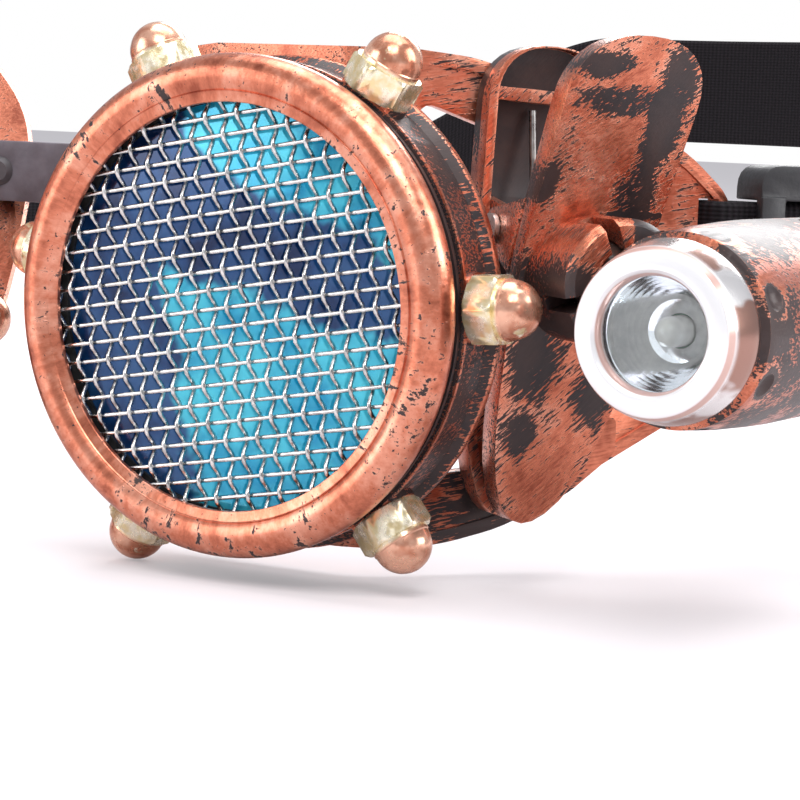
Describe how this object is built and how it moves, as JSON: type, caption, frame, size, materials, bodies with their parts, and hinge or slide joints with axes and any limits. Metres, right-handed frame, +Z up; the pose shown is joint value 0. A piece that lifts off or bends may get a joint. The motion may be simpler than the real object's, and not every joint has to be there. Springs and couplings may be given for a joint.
{
  "type": "steampunk goggles",
  "caption": "Antique copper goggles: round cups with wire mesh over blue lenses, cap nuts, elastic strap and a clip-on swivel torch.",
  "frame": {"origin": "centre of the wearer's left bezel opening, in the bezel's front plane", "axes": "+X towards the wearer's left, +Y from the lens back to the face, +Z up"},
  "size_m": [0.2138, 0.2358, 0.0736],
  "materials": {
    "patina": "satin",
    "copper": "satin",
    "wire": "satin",
    "black_ring": "matte",
    "blue_glass": "gloss",
    "rubber": "matte",
    "gold": "polished",
    "stud_brass": "satin",
    "bridge_band": "matte",
    "spring_steel": "satin",
    "black_gloss": "gloss",
    "chrome": "polished",
    "clear_glass": "gloss",
    "mirror": "polished",
    "led": "gloss",
    "board": "satin",
    "cells": "satin",
    "elastic": "matte",
    "black_plastic": "gloss"
  },
  "bodies": {
    "frame": {"cup_left": "patina", "mesh_left": "wire", "spacer_left": "black_ring", "lens_left": "blue_glass", "gasket_left": "rubber", "nuts_left": "gold", "studs_left": "stud_brass", "cup_right": "patina", "mesh_right": "wire", "spacer_right": "black_ring", "lens_right": "blue_glass", "gasket_right": "rubber", "nuts_right": "gold", "studs_right": "stud_brass", "bridge_band": "bridge_band", "bridge_rivets": "bridge_band", "clip_back": "copper", "clip_pin": "wire", "clip_spring": "spring_steel", "strap_return_left": "elastic", "strap_return_right": "elastic", "head_strap": "elastic"},
    "left_bezel": {"bezel_left": "copper"},
    "right_bezel": {"bezel_right": "copper"},
    "clip_jaw": {"clip_front": "copper"},
    "torch_ball": {"ball_stud": "black_gloss"},
    "torch": {"torch_barrel": "patina", "torch_head": "chrome", "torch_lens": "clear_glass", "torch_reflector": "mirror", "torch_led": "led", "torch_board": "board", "torch_cells": "cells", "torch_spring": "wire"},
    "tail_cap": {"torch_tail_cap": "copper"},
    "tail_button": {"torch_button": "rubber"},
    "adjuster": {"strap_slider": "black_plastic"}
  },
  "joints": [
    {"name": "left_bezel_unscrew", "type": "hinge", "parent": "frame", "child": "left_bezel", "pos_m": [0, 0.004, 0], "axis": [0, -1, 0], "range_deg": [0, 360]},
    {"name": "right_bezel_unscrew", "type": "hinge", "parent": "frame", "child": "right_bezel", "pos_m": [-0.076, 0.004, 0], "axis": [0, -1, 0], "range_deg": [0, 360]},
    {"name": "clip_open", "type": "hinge", "parent": "frame", "child": "clip_jaw", "pos_m": [0.0307, 0.02698, 0.00999], "axis": [-0.601, -0.7975, 0.0523], "range_deg": [0, 20], "stiffness_Nm_per_rad": 0.4, "springref_deg": -28.65, "deforming": ["clip_spring"]},
    {"name": "torch_yaw", "type": "hinge", "parent": "clip_jaw", "child": "torch_ball", "pos_m": [0.04236, 0.01787, 0.0052], "axis": [0, 0, 1], "range_deg": [-30, 2]},
    {"name": "torch_pitch", "type": "hinge", "parent": "torch_ball", "child": "torch", "pos_m": [0.04236, 0.01787, 0.0052], "axis": [1, 0, 0], "range_deg": [-40, 40]},
    {"name": "tail_cap_unscrew", "type": "hinge", "parent": "torch", "child": "tail_cap", "pos_m": [0.0595, 0.04, 0.0018], "axis": [0, 1, 0], "range_deg": [0, 360]},
    {"name": "tail_button_press", "type": "slide", "parent": "tail_cap", "child": "tail_button", "axis": [0, -1, 0], "range_m": [0, 0.0012], "stiffness_N_per_m": 600, "springref_m": -0.001},
    {"name": "strap_adjust", "type": "slide", "parent": "frame", "child": "adjuster", "axis": [0.6018, 0.7986, 0], "range_m": [-0.0015, 0.008]}
  ]
}
